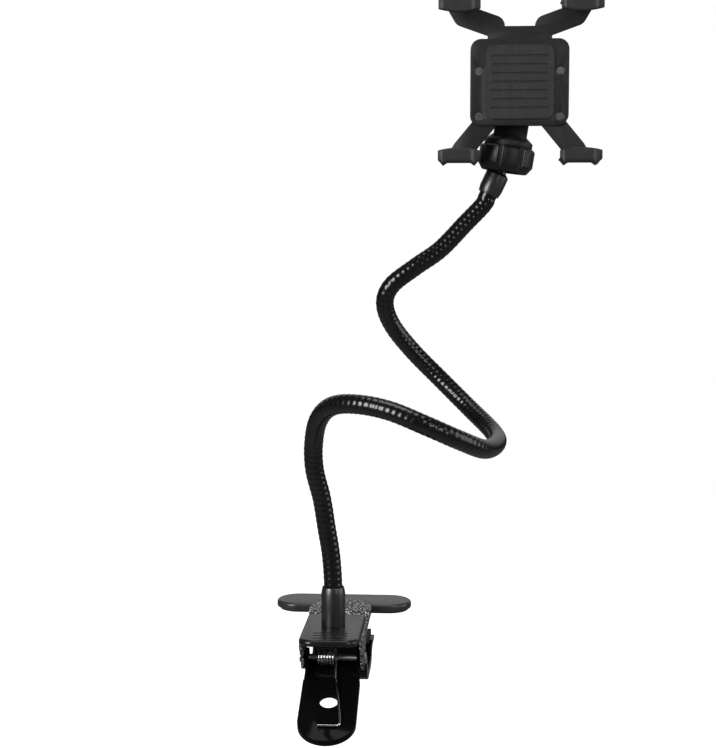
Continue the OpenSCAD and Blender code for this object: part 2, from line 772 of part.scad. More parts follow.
module phone_cushion() {
    color("#202022") at_cradle() difference() {
        linear_extrude(cushion_thick) rounded_plate(housing_width - 14, housing_height - 6, 4);
        for (y = [-12:4:12])
            translate([0, y, 0]) rotate([0, 90, 0]) cylinder(r = 0.5, h = 26, center = true, $fn = 16);
    }
}

module upper_yoke() {
    color("#17181a") at_cradle() {
        translate([-slide_width / 2, slide_low, tray_front + slide_slack])
            cube([slide_width, slide_top - slide_low, slide_thick]);
        for (s = [-1, 1]) {
            claw_arm(s, 1, slide_top, slide_slack);
            translate([s * spring_x, post_y, tray_front + slide_thick]) cylinder(r = post_r, h = 4.2);
        }
    }
}

// Two extension springs in the housing's pockets, from the pocket's floor to the yoke's posts
module yoke_springs() {
    turns = 8;
    steps = 8;
    low = pocket_low + 0.9;
    length = post_y - post_r - low;
    r = (spring_coil_d - spring_wire) / 2;
    for (s = [-1, 1]) {
        line = [for (i = [0:turns * steps])
            [s * spring_x + r * cos(360 * i / steps), low + length * i / (turns * steps),
                tray_front + slide_thick + 2.9 + r * sin(360 * i / steps)]];
        radii = [for (p = line) spring_wire / 2];
        color("#b9bcc0") at_cradle() tube(line, side_normals(line, [0, 1, 0]), radii, 0, len(line) - 1, 4);
    }
}

module lower_left_boot() { color("#3b3c3d") claw_boot(-1, -1); }
module lower_right_boot() { color("#3b3c3d") claw_boot(1, -1); }
module upper_left_boot() { color("#3b3c3d") claw_boot(-1, 1); }
module upper_right_boot() { color("#3b3c3d") claw_boot(1, 1); }

wing_bar();
bar_sole();
clamp_frame();
thumb_plate();
lower_lever();
jaw_pad();
pivot_pin();
torsion_spring();
base_ferrule();
ferrule_screw();
hose_riser();
hose_lower_bend();
hose_front_run();
hose_right_bend();
hose_cross_run();
hose_upper_bend();
hose_top_run();
top_ferrule();
ball_stud();
ball_cup();
swivel_arm();
lock_nut();
friction_washer();
swivel_screw();
rear_housing();
front_cover();
cover_screws();
phone_cushion();
upper_yoke();
yoke_springs();
lower_left_boot();
lower_right_boot();
upper_left_boot();
upper_right_boot();
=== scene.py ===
"""Finishes, fine shapes, stage and light for the holder's nodes."""

import json
import math

import bpy
import bmesh
import numpy as np
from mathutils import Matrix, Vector


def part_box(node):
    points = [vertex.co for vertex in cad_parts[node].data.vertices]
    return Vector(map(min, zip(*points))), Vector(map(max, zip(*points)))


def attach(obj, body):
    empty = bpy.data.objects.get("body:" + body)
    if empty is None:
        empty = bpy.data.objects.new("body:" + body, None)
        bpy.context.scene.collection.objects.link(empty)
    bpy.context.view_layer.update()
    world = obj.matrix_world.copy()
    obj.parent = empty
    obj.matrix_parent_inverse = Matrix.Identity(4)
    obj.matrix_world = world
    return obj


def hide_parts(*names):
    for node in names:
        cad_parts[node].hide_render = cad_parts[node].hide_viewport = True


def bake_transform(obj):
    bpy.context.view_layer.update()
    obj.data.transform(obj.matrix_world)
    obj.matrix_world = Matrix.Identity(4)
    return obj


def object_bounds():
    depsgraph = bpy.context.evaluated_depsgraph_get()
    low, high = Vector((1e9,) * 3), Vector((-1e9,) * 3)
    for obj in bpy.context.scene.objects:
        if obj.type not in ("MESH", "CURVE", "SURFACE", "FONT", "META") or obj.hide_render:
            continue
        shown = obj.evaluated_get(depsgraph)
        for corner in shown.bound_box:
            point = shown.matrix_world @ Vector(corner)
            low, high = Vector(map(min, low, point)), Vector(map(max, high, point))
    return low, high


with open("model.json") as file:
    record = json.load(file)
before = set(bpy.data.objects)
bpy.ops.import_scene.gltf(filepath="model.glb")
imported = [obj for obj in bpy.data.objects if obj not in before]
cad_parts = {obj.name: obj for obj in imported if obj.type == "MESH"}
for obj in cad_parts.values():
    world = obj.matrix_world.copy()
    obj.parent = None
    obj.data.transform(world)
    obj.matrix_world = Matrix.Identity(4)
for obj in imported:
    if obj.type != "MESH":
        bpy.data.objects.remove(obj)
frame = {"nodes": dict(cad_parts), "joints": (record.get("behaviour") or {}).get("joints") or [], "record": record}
cad_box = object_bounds()

MM = 0.001
SLOT_OF = {part["node"]: part["material_slot"] for part in frame["record"]["subparts"]}
BODY_OF = {
    node: body
    for body, members in frame["record"]["behaviour"]["bodies"].items()
    for node in members
}
JOINTS = {joint["name"]: joint for joint in frame["joints"]}


# Camera

IMAGE_HEIGHT = 748
FOCAL_PIXELS = 1457.0
EYE = Vector((0.0591, -0.7358, 0.1868))
YAW = math.radians(4.04)
PITCH = math.radians(5.08)
SENSOR = 36.0


def make_camera():
    data = bpy.data.cameras.new("camera")
    data.sensor_fit = "VERTICAL"
    data.sensor_height = SENSOR
    data.lens = FOCAL_PIXELS * SENSOR / IMAGE_HEIGHT
    data.clip_start = 0.01
    data.clip_end = 50
    camera = bpy.data.objects.new("camera", data)
    camera.location = EYE
    camera.rotation_euler = (math.pi / 2 - PITCH, 0, YAW)
    bpy.context.scene.collection.objects.link(camera)
    bpy.context.scene.camera = camera


# Materials


class Nodes:
    """A material's node tree, with short calls for what every finish here needs."""

    def __init__(self, name):
        self.material = bpy.data.materials.new(name)
        self.material.use_nodes = True
        self.tree = self.material.node_tree
        self.shader = self.tree.nodes["Principled BSDF"]
        self.coords = self.tree.nodes.new("ShaderNodeTexCoord").outputs["Object"]

    def link(self, a, b):
        self.tree.links.new(a, b)

    def set(self, **values):
        for key, value in values.items():
            self.shader.inputs[key.replace("_", " ")].default_value = value

    def noise(self, scale, detail=3.0, stretch=None):
        node = self.tree.nodes.new("ShaderNodeTexNoise")
        node.inputs["Scale"].default_value = scale
        node.inputs["Detail"].default_value = detail
        node.inputs["Roughness"].default_value = 0.55
        source = self.coords
        if stretch:
            mapping = self.tree.nodes.new("ShaderNodeMapping")
            mapping.inputs["Scale"].default_value = stretch
            self.link(self.coords, mapping.inputs["Vector"])
            source = mapping.outputs["Vector"]
        self.link(source, node.inputs["Vector"])
        return node.outputs["Fac"]

    def cells(self, scale):
        node = self.tree.nodes.new("ShaderNodeTexVoronoi")
        node.inputs["Scale"].default_value = scale
        self.link(self.coords, node.inputs["Vector"])
        return node.outputs["Distance"]

    def ramp(self, source, low, high, start=0.0, end=1.0):
        node = self.tree.nodes.new("ShaderNodeMapRange")
        node.inputs["From Min"].default_value = start
        node.inputs["From Max"].default_value = end
        node.inputs["To Min"].default_value = low
        node.inputs["To Max"].default_value = high
        self.link(source, node.inputs["Value"])
        return node.outputs["Result"]

    def product(self, a, b):
        node = self.tree.nodes.new("ShaderNodeMath")
        node.operation = "MULTIPLY"
        self.link(a, node.inputs[0])
        self.link(b, node.inputs[1])
        return node.outputs["Value"]

    def colour(self, source, dark, light, start=0.3, end=0.7):
        node = self.tree.nodes.new("ShaderNodeMix")
        node.data_type = "RGBA"
        node.inputs["A"].default_value = (*dark, 1)
        node.inputs["B"].default_value = (*light, 1)
        self.link(self.ramp(source, 0, 1, start, end), node.inputs["Factor"])
        self.link(node.outputs["Result"], self.shader.inputs["Base Color"])

    def rough(self, source, low, high, start=0.3, end=0.7):
        self.link(self.ramp(source, low, high, start, end), self.shader.inputs["Roughness"])

    def bump(self, source, height):
        node = self.tree.nodes.new("ShaderNodeBump")
        node.inputs["Strength"].default_value = 1.0
        node.inputs["Distance"].default_value = height
        self.link(source, node.inputs["Height"])
        self.link(node.outputs["Normal"], self.shader.inputs["Normal"])


def satin_paint():
    m = Nodes("satin_paint")
    m.colour(m.noise(60), (0.018, 0.0184, 0.0193), (0.025, 0.0255, 0.0266))
    m.rough(m.noise(900), 0.28, 0.38)
    m.bump(m.noise(3000, 2.0), 0.00002)
    m.set(Specular_IOR_Level=0.62)
    return m.material


def wrinkle_paint():
    m = Nodes("wrinkle_paint")
    lumps = m.cells(900)
    patches = m.ramp(m.noise(700, 2.0), 0, 1, 0.36, 0.52)
    # The pale specks on the lumps are painted glints: light that the black wrinkle paint's lumps catch, put into
    # the base colour, with lower roughness there
    painted_glints = m.product(m.ramp(lumps, 1, 0, 0.25, 0.5), patches)
    m.colour(painted_glints, (0.008, 0.008, 0.0086), (0.57, 0.575, 0.59), 0.0, 1.0)
    m.rough(painted_glints, 0.5, 0.3, 0.0, 1.0)
    m.bump(m.ramp(lumps, 1, 0, 0.1, 0.5), 0.0003)
    return m.material


def gloss_paint():
    m = Nodes("gloss_paint")
    m.colour(m.noise(40), (0.004, 0.004, 0.0043), (0.006, 0.006, 0.0064))
    m.rough(m.noise(500), 0.24, 0.32)
    m.set(Specular_IOR_Level=0.45)
    m.bump(m.noise(220, 2.0), 0.000006)
    return m.material


def lever_paint():
    m = Nodes("lever_paint")
    m.colour(m.noise(30), (0.002, 0.002, 0.002), (0.0035, 0.0035, 0.0035))
    m.rough(m.noise(300), 0.08, 0.12)
    m.bump(m.noise(160, 2.0), 0.000015)
    m.set(Specular_IOR_Level=0.06)
    return m.material


def rubber():
    m = Nodes("rubber")
    m.colour(m.noise(300), (0.012, 0.012, 0.012), (0.02, 0.02, 0.02))
    m.rough(m.noise(800), 0.65, 0.8)
    m.bump(m.noise(2500), 0.00006)
    return m.material


def boot_rubber():
    m = Nodes("boot_rubber")
    m.colour(m.noise(220), (0.012, 0.0122, 0.0126), (0.019, 0.0193, 0.0198))
    m.rough(m.noise(700), 0.48, 0.6)
    m.set(Specular_IOR_Level=0.4)
    m.bump(m.noise(3500, 2.0), 0.00004)
    return m.material


def steel():
    m = Nodes("steel")
    m.colour(m.noise(400), (0.34, 0.345, 0.35), (0.5, 0.505, 0.51))
    m.rough(m.noise(1500, stretch=(0.1, 1, 1)), 0.25, 0.4)
    m.set(Metallic=1.0)
    return m.material


def spring_steel():
    m = Nodes("spring_steel")
    m.colour(m.noise(500), (0.5, 0.5, 0.51), (0.66, 0.66, 0.67))
    m.rough(m.noise(1800), 0.16, 0.26)
    m.set(Metallic=1.0)
    return m.material


def ferrule_black():
    m = Nodes("ferrule_black")
    m.colour(m.noise(200), (0.0035, 0.0035, 0.0038), (0.006, 0.006, 0.0064))
    m.rough(m.noise(1200, stretch=(1, 1, 0.15)), 0.33, 0.4)
    m.set(Specular_IOR_Level=1.0)
    m.bump(m.noise(2000, 2.0), 0.000002)
    return m.material


def hose_cover():
    m = Nodes("hose_cover")
    m.colour(m.noise(260), (0.0025, 0.0025, 0.0028), (0.005, 0.005, 0.0054))
    m.rough(m.noise(900), 0.19, 0.26)
    m.bump(m.noise(2600, 2.0), 0.00001)
    m.set(Specular_IOR_Level=0.5)
    return m.material


def housing_plastic():
    m = Nodes("housing_plastic")
    m.colour(m.noise(150), (0.008, 0.008, 0.0086), (0.012, 0.012, 0.0127))
    m.rough(m.noise(700), 0.42, 0.55)
    m.set(Specular_IOR_Level=0.35)
    m.bump(m.cells(2600), 0.00004)
    return m.material


def nut_plastic():
    m = Nodes("nut_plastic")
    m.colour(m.noise(180), (0.005, 0.005, 0.0054), (0.009, 0.009, 0.0095))
    m.rough(m.noise(600), 0.36, 0.48)
    m.set(Specular_IOR_Level=0.35)
    m.bump(m.cells(2200), 0.00003)
    return m.material


def nylon():
    m = Nodes("nylon")
    m.colour(m.noise(300), (0.02, 0.02, 0.021), (0.03, 0.03, 0.031))
    m.rough(m.noise(900), 0.4, 0.5)
    return m.material


FINISHES = {
    make.__name__: make
    for make in (
        satin_paint, wrinkle_paint, gloss_paint, lever_paint, rubber, boot_rubber, steel,
        spring_steel, ferrule_black, hose_cover, housing_plastic, nut_plastic, nylon,
    )
}
MATERIALS = {}


def finish(slot):
    if slot not in MATERIALS:
        MATERIALS[slot] = FINISHES[slot]()
    return MATERIALS[slot]


def paint_nodes():
    for name, obj in frame["nodes"].items():
        obj.data.materials.clear()
        obj.data.materials.append(finish(SLOT_OF[name]))


# Mesh helpers

# Degrees of turn between two faces above which the edge between them is drawn sharp
SHARP_ON_CAD = 28
SHARP_ON_OUTLINE = 35
SHARP_ON_BOOT = 40
SHARP_ON_TUBE = 75

# Softening: distance in metres under which points are one, and the turns in degrees under
# which two faces count as flat and over which an edge is rounded
WELD = 0.000002
FLAT_TURN = 0.6
ROUNDED_TURN = 32


def mesh_object(name, points, faces, node):
    """A piece in a node's finish, from points in metres."""
    mesh = bpy.data.meshes.new(name)
    mesh.from_pydata([tuple(p) for p in points], [], faces)
    mesh.validate()
    obj = bpy.data.objects.new(name, mesh)
    bpy.context.scene.collection.objects.link(obj)
    dress(obj, node)
    return obj


def dress(obj, node):
    slot = SLOT_OF[node]
    obj.data.materials.clear()
    obj.data.materials.append(finish(slot))


def take_place(obj, node):
    """The piece rides the node's body and stands in the node's place."""
    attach(obj, BODY_OF[node])
    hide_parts(node)


def smooth(obj, sharp_from):
    """Smooth shading, but for edges that turn by sharp_from degrees or more."""
    obj.data.polygons.foreach_set("use_smooth", [True] * len(obj.data.polygons))
    limit = math.radians(sharp_from)
    mesh = bmesh.new()
    mesh.from_mesh(obj.data)
    for edge in mesh.edges:
        edge.smooth = len(edge.link_faces) == 2 and edge.calc_face_angle(0) < limit
    mesh.to_mesh(obj.data)
    mesh.free()
    obj.data.update()


def tube_faces(rings, count):
    """Faces of a tube of rings with count points each, closed by one face at each end."""
    faces = [tuple(range(count - 1, -1, -1))]
    for i in range(rings - 1):
        for j in range(count):
            k = (j + 1) % count
            faces.append((i * count + j, i * count + k, (i + 1) * count + k, (i + 1) * count + j))
    faces.append(tuple((rings - 1) * count + j for j in range(count)))
    return faces


def face_outwards(obj):
    mesh = bmesh.new()
    mesh.from_mesh(obj.data)
    bmesh.ops.recalc_face_normals(mesh, faces=mesh.faces)
    mesh.to_mesh(obj.data)
    mesh.free()


def apply_modifiers(obj):
    bpy.context.view_layer.update()
    graph = bpy.context.evaluated_depsgraph_get()
    mesh = bpy.data.meshes.new_from_object(obj.evaluated_get(graph))
    old = obj.data
    obj.modifiers.clear()
    obj.data = mesh
    bpy.data.meshes.remove(old)


def softened_mesh(node):
    """A copy of a node's mesh, welded and with its flat faces whole."""
    mesh = bmesh.new()
    mesh.from_mesh(frame["nodes"][node].data)
    bmesh.ops.remove_doubles(mesh, verts=mesh.verts, dist=WELD)
    bmesh.ops.dissolve_limit(
        mesh, angle_limit=math.radians(FLAT_TURN), verts=mesh.verts, edges=mesh.edges
    )
    bmesh.ops.recalc_face_normals(mesh, faces=mesh.faces)
    data = bpy.data.meshes.new("soft_" + node)
    mesh.to_mesh(data)
    mesh.free()
    return data


def soften(node, width, segments):
    """Put a copy of a node with its sharp edges rounded in its place."""
    obj = bpy.data.objects.new("soft_" + node, softened_mesh(node))
    bpy.context.scene.collection.objects.link(obj)
    bevel = obj.modifiers.new("round", "BEVEL")
    bevel.width = width
    bevel.segments = segments
    bevel.limit_method = "ANGLE"
    bevel.angle_limit = math.radians(ROUNDED_TURN)
    bevel.use_clamp_overlap = True
    bevel.miter_outer = "MITER_ARC"
    apply_modifiers(obj)
    dress(obj, node)
    smooth(obj, SHARP_ON_CAD)
    take_place(obj, node)


# Curves and tubes


def distance_along(points):
    steps = np.linalg.norm(np.diff(points, axis=0), axis=1)
    return np.concatenate([[0], np.cumsum(steps)])


def sampled(stations, along, values):
    """Rows of values, known at the distances along, read off at the stations."""
    return np.stack([np.interp(stations, along, values[:, k]) for k in range(3)], axis=1)


def cross_directions(points, first):
    """Two directions across a line at each point, turned as little as possible."""
    tangents = np.gradient(points, axis=0)
    tangents /= np.linalg.norm(tangents, axis=1)[:, None]
    sides = np.zeros_like(points)
    side = np.array(first, float)
    for i, tangent in enumerate(tangents):
        side = side - tangent * (side @ tangent)
        side /= np.linalg.norm(side)
        sides[i] = side
    return sides, np.cross(tangents, sides)


def tube_points(centres, sides, tops, radii):
    """Points of a tube along centres; radii has a value for each ring and side."""
    count = radii.shape[1]
    angles = 2 * np.pi * np.arange(count) / count
    rings = (
        centres[:, None, :]
        + radii[:, :, None]
        * (np.cos(angles)[None, :, None] * sides[:, None, :]
           + np.sin(angles)[None, :, None] * tops[:, None, :])
    )
    return rings.reshape(-1, 3)


# Hose, along the same points as its solids

HOSE = [
    (0, -64, 11.3), (0, -64, 26), (-1, -64, 41), (-3, -65, 54.5), (-5, -67, 68.5),
    (-8, -71, 83), (-8, -75, 95.5), (-5, -83, 107.5), (2, -93, 115), (13.5, -102, 117),
    (28.5, -109, 115), (44.5, -112, 109), (59, -106, 102), (70, -90, 96), (76, -65, 95.5),
    (74.5, -43, 98), (63.5, -24, 107), (49.5, -15, 120), (35.5, -14, 134), (25.5, -18, 147),
    (22, -24, 158), (25.5, -27, 167), (37, -27, 176), (49, -25, 184.5), (61, -23, 197),
]
BALL = Vector(JOINTS["head_turn"]["pos_m"]) / MM
STEM = Vector(JOINTS["head_turn"]["axis"]).normalized()

# Distances below the ball of the last three points, which lie on the stem's axis
ON_STEM = (26, 21, 11.3)

# Each stretch with its first and last point
STRETCHES = [
    ("hose_riser", 0, 6), ("hose_lower_bend", 6, 8), ("hose_front_run", 8, 13),
    ("hose_right_bend", 13, 15), ("hose_cross_run", 15, 19), ("hose_upper_bend", 19, 21),
    ("hose_top_run", 21, 27),
]
HOSE_R = 4.4
HOSE_SIDES = 28
RIB_PITCH = 2.8
RIB_DEPTH = 0.13
RING_STEP = RIB_PITCH / 10
CURVE_STEPS = 40


def hose_knots():
    return np.array([*HOSE, *[tuple(BALL - s * STEM) for s in ON_STEM]], float)


def hose_curve(knots):
    """Dense points of one smooth curve through the knots."""
    last = len(knots) - 1
    points = []
    for i in range(last):
        a, b, c, d = (knots[k] for k in (max(i - 1, 0), i, i + 1, min(i + 2, last)))
        for t in np.arange(CURVE_STEPS) / CURVE_STEPS:
            points.append(
                0.5 * (2 * b + (c - a) * t + (2 * a - 5 * b + 4 * c - d) * t**2
                       + (3 * b - a - 3 * c + d) * t**3)
            )
    points.append(knots[last])
    return np.array(points)


def make_hose():
    """The hose's stretches; one rib winds up the whole hose like a thread."""
    dense = hose_curve(hose_knots())
    along = distance_along(dense)
    knot_at = along[::CURVE_STEPS]
    sides, tops = cross_directions(dense, (1, 0, 0))
    turns = np.arange(HOSE_SIDES) / HOSE_SIDES
    for name, a, b in STRETCHES:
        start, end = knot_at[a], knot_at[b]
        stations = np.linspace(start, end, int(round((end - start) / RING_STEP)) + 1)
        phase = stations[:, None] / RIB_PITCH + turns[None, :]
        radii = HOSE_R - RIB_DEPTH * (0.5 + 0.5 * np.cos(2 * np.pi * phase))
        centres, side, top = (sampled(stations, along, rows) for rows in (dense, sides, tops))
        points = tube_points(centres, side, top, radii) * MM
        obj = mesh_object("ribbed_" + name, points, tube_faces(len(stations), HOSE_SIDES), name)
        smooth(obj, SHARP_ON_TUBE)
        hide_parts(name)
        joint = JOINTS.get(name + "_flex")
        if joint:
            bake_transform(obj)
        else:
            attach(obj, BODY_OF[name])


# Springs

PIN = Vector(JOINTS["clamp_open"]["pos_m"]) / MM
LEVER_SLOPE = math.radians(23)
WIRE_R = 0.55
WIRE_STEP = 0.35
WIRE_SIDES = 14
COIL_R = 3.725
COIL_PITCH = 1.35
COIL_TURNS = 6
COIL_MIDDLE = -2.8
COIL_START = COIL_MIDDLE + COIL_TURNS * COIL_PITCH / 2
COIL_STEPS = 40
EXTRA_TURN = math.radians(92)
TAIL_STATIONS = (2, 6.2)

# The long leg: its reach down the handle, where it leans sideways and by how much, and its hook
LEG_REACH = 43.0
LEG_STATIONS = (36, 27, 18, 9, 4)
LEAN_FROM = 4
LEAN_LENGTH = 36
LEG_LEAN = 5.0
HOOK = 10.0
HOOK_BEND = 2.0

YOKE_COIL_R = 2.0
YOKE_WIRE_R = 0.35
YOKE_WIRE_SIDES = 8
YOKE_TURNS = 9
YOKE_COIL_STEPS = 24

# A direction that neither spring's wire starts along
SKEWED = (0.3, 1, 0.2)


def lever_point(x, a, b):
    """A point a along the handle from the pin and b above it."""
    return np.array((
        x,
        PIN.y - a * math.cos(LEVER_SLOPE) - b * math.sin(LEVER_SLOPE),
        PIN.z - a * math.sin(LEVER_SLOPE) + b * math.cos(LEVER_SLOPE),
    ))


def leg_x(a):
    return COIL_START + LEG_LEAN * min(1, max(0, (a - LEAN_FROM) / LEAN_LENGTH))


def spring_line():
    """Points along the wire: the hook, the long leg, the coil and its short tail."""
    far = leg_x(LEG_REACH)
    line = [lever_point(far - HOOK, LEG_REACH, -COIL_R)]
    for angle in np.radians(np.linspace(0, 90, 9)):
        line.append(lever_point(
            far - HOOK_BEND + HOOK_BEND * math.sin(angle),
            LEG_REACH - HOOK_BEND + HOOK_BEND * math.cos(angle),
            -COIL_R,
        ))
    line += [lever_point(leg_x(a), a, -COIL_R) for a in LEG_STATIONS]
    start = -math.pi / 2 + LEVER_SLOPE
    end = start + 2 * math.pi * COIL_TURNS + EXTRA_TURN
    for angle in np.linspace(start, end, COIL_TURNS * COIL_STEPS + 1):
        line.append(np.array((
            COIL_START - COIL_PITCH * (angle - start) / (2 * math.pi),
            PIN.y + COIL_R * math.cos(angle),
            PIN.z + COIL_R * math.sin(angle),
        )))
    tail = np.array((0, -math.sin(end), math.cos(end)))
    line += [line[-1] + s * tail for s in TAIL_STATIONS]
    return np.array(line)


def resampled(points, step):
    """Points about every step along the straight lines between the given ones."""
    along = distance_along(points)
    stations = np.linspace(0, along[-1], max(2, int(along[-1] / step)))
    return sampled(stations, along, points)


def wire_piece(name, line, radius, node, sides):
    across, up = cross_directions(line, SKEWED)
    radii = np.full((len(line), sides), radius)
    points = tube_points(line, across, up, radii) * MM
    obj = mesh_object(name, points, tube_faces(len(line), sides), node)
    smooth(obj, SHARP_ON_TUBE)
    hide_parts(node)
    return obj


def make_torsion_spring():
    """The wire as one piece: the hook, the long leg that leans down the handle, the coil and its short tail."""
    line = resampled(spring_line(), WIRE_STEP)
    obj = wire_piece("wound_torsion_spring", line, WIRE_R, "torsion_spring", WIRE_SIDES)
    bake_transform(obj)


def make_yoke_springs():
    low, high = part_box("yoke_springs")
    t = np.linspace(0, 1, YOKE_TURNS * YOKE_COIL_STEPS)
    angle = 2 * np.pi * YOKE_TURNS * t
    y = (low.y + high.y) / 2 / MM + YOKE_COIL_R * np.sin(angle)
    z = low.z / MM + YOKE_WIRE_R + t * ((high.z - low.z) / MM - 2 * YOKE_WIRE_R)
    inset = YOKE_COIL_R + YOKE_WIRE_R
    for side, centre in (("left", low.x / MM + inset), ("right", high.x / MM - inset)):
        line = np.stack([centre + YOKE_COIL_R * np.cos(angle), y, z], axis=1)
        name = f"wound_{side}_yoke_spring"
        obj = wire_piece(name, line, YOKE_WIRE_R, "yoke_springs", YOKE_WIRE_SIDES)
        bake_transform(obj)


# Outlines, stacked with rounded edges

# Radii of the lower and upper edges
BAR_EDGES = (0.5, 1.4)
PLATE_EDGES = (0.8, 1.6)

PLATE_FRONT_R = 7
PLATE_REAR_R = 1.2
GROOVES = 3
GROOVE_PITCH = 4.5
GROOVE_R = 0.9
GROOVE_LENGTH = 16
GROOVE_LIFT = 0.35
EDGE_STEPS = 6


def arc(cx, cy, r, start, end, count):
    angles = np.radians(np.linspace(start, end, count))
    return np.stack([cx + r * np.cos(angles), cy + r * np.sin(angles)], axis=1)


def stacked(name, outline, levels, node):
    """A closed piece from outline(inset) at each (inset, z) level, all in millimetres."""
    rings = [outline(inset) for inset, z in levels]
    points = [(*p, z) for ring, (inset, z) in zip(rings, levels) for p in ring]
    faces = tube_faces(len(rings), len(rings[0]))
    obj = mesh_object(name, np.array(points) * MM, faces, node)
    smooth(obj, SHARP_ON_OUTLINE)
    return obj


def rounded_levels(bottom, top, low_r, high_r):
    """Inset and height of edges that are rounded by low_r below and high_r above."""
    turns = np.radians(np.linspace(0, 90, EDGE_STEPS))
    lower = [(low_r * (1 - math.sin(a)), bottom + low_r * (1 - math.cos(a))) for a in turns]
    upper = [(high_r * (1 - math.cos(a)), top - high_r * (1 - math.sin(a))) for a in turns]
    return lower + upper


def make_wing_bar():
    low, high = (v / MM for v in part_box("wing_bar"))
    length, width = high.x - low.x, high.y - low.y

    def outline(inset):
        r = width / 2 - inset
        x = (length - width) / 2
        return np.concatenate([arc(x, 0, r, -90, 90, 40), arc(-x, 0, r, 90, 270, 40)])

    levels = rounded_levels(low.z, high.z, *BAR_EDGES)
    obj = stacked("moulded_wing_bar", outline, levels, "wing_bar")
    take_place(obj, "wing_bar")


def groove_cutter(y, z):
    bpy.ops.mesh.primitive_cylinder_add(
        vertices=24, radius=GROOVE_R * MM, depth=GROOVE_LENGTH * MM,
        location=(0, y * MM, z * MM), rotation=(0, math.pi / 2, 0),
    )
    return bpy.context.object


def make_thumb_plate():
    low, high = (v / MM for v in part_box("thumb_plate"))

    def outline(inset):
        x, front, rear = high.x - inset, low.y + inset, high.y - inset
        r, tight = PLATE_FRONT_R - inset, PLATE_REAR_R
        return np.concatenate([
            arc(x - tight, rear - tight, tight, 0, 90, 8),
            arc(-x + tight, rear - tight, tight, 90, 180, 8),
            arc(-x + r, front + r, r, 180, 270, 20),
            arc(x - r, front + r, r, 270, 360, 20),
        ])

    levels = rounded_levels(low.z, high.z, *PLATE_EDGES)
    obj = stacked("pressed_thumb_plate", outline, levels, "thumb_plate")
    cutters = [
        groove_cutter(low.y + GROOVE_PITCH * (i + 1), high.z + GROOVE_LIFT)
        for i in range(GROOVES)
    ]
    for cutter in cutters:
        cut = obj.modifiers.new("groove", "BOOLEAN")
        cut.object = cutter
        cut.operation = "DIFFERENCE"
    apply_modifiers(obj)
    for cutter in cutters:
        bpy.data.objects.remove(cutter)
    smooth(obj, SHARP_ON_OUTLINE)
    take_place(obj, "thumb_plate")


# Boots

BOOTS = ("lower_left_boot", "lower_right_boot", "upper_left_boot", "upper_right_boot")
HELD_THICK = 7.7
LIP_HEIGHT = 4.6
LIP_THICK = 2.6
BOOT_BACK = 2.4
SADDLE = 2.0
BOOT_RINGS = 33

# Radii of a boot's section, from the back's inner corner round to the front's
CORNER_R = (0.3, 0.6, 1.5, 0.9, 0.9, 0.5)
CORNER_STEPS = 5

# The rounded edge at a boot's ends, and the degrees round it at which there is a ring
EDGE_R = 0.5
EDGE_TURNS = (30, 60, 85)

# A boot swells to a point near each end: the share of the flare at each share of half its
# length. The lip grows thicker with it, and shorter towards the ends.
FLARE_AT = (0, 0.6, 0.8, 1)
FLARE_SHARE = (0, 0, 1, -0.55)
FLARE = 1.4
LIP_SWELL = 0.6
LIP_CUT = 1.2


def offset_loop(loop, distance):
    """A closed 2-D loop moved inwards by distance, point by point."""
    before = loop - np.roll(loop, 1, axis=0)
    after = np.roll(loop, -1, axis=0) - loop
    tangent = before / np.linalg.norm(before, axis=1)[:, None]
    tangent = tangent + after / np.linalg.norm(after, axis=1)[:, None]
    tangent /= np.linalg.norm(tangent, axis=1)[:, None]
    return loop + distance * np.stack([-tangent[:, 1], tangent[:, 0]], axis=1)


def rounded_loop(corners, radii):
    """A closed loop through corners, each rounded by its radius or nearly half its shorter side."""
    corners = np.array(corners, float)
    loop = []
    for i, (corner, radius) in enumerate(zip(corners, radii)):
        a = corners[i - 1] - corner
        b = corners[(i + 1) % len(corners)] - corner
        a_len, b_len = np.linalg.norm(a), np.linalg.norm(b)
        r = min(radius, 0.45 * a_len, 0.45 * b_len)
        start, end = corner + a / a_len * r, corner + b / b_len * r
        for t in np.linspace(0, 1, CORNER_STEPS):
            loop.append((1 - t) ** 2 * start + 2 * t * (1 - t) * corner + t**2 * end)
    return np.array(loop)


def boot_loop(f):
    """Section of a boot as depth and height over the gripped edge, f from 0 to 1 outwards."""
    share = np.interp(f, FLARE_AT, FLARE_SHARE)
    out = SADDLE + FLARE * share
    lip = LIP_HEIGHT - LIP_CUT * f**2
    fore = -HELD_THICK - LIP_THICK - LIP_SWELL * max(0, share)
    corners = [
        (BOOT_BACK, 0), (BOOT_BACK, out), (fore, out), (fore, -lip), (-HELD_THICK, -lip),
        (-HELD_THICK, 0),
    ]
    return rounded_loop(corners, CORNER_R)


def boot_rings(half):
    """Sections along a boot from -half to half, with a rounded edge at each end."""
    flat = half - EDGE_R
    rings = [(x, boot_loop(abs(x) / flat)) for x in np.linspace(-flat, flat, BOOT_RINGS)]
    ends = []
    for angle in np.radians(EDGE_TURNS):
        inset = EDGE_R * (1 - math.cos(angle))
        ends.append((EDGE_R * math.sin(angle), offset_loop(boot_loop(1), inset)))
    left = [(-flat - x, loop) for x, loop in ends[::-1]]
    right = [(flat + x, loop) for x, loop in ends]
    return left + rings + right


def make_boot(node):
    low, high = (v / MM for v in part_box(node))
    up = 1 if node.startswith("upper") else -1
    centre = (low.x + high.x) / 2
    back = high.y - BOOT_BACK
    edge = (low.z + LIP_HEIGHT) if up > 0 else (high.z - LIP_HEIGHT)
    rings = boot_rings((high.x - low.x) / 2)
    points = [(centre + x, back + p[0], edge + up * p[1]) for x, loop in rings for p in loop]
    faces = tube_faces(len(rings), len(rings[0][1]))
    obj = mesh_object("moulded_" + node, np.array(points) * MM, faces, node)
    face_outwards(obj)
    smooth(obj, SHARP_ON_BOOT)
    take_place(obj, node)


# Stage and light

FLOOR_SIZE = 8.0
FLOOR_DROP = 0.6
FLOOR_GLOW = 0.8
FLOOR_BOUNCE = 0.25
FLOOR_WHITE = 0.87

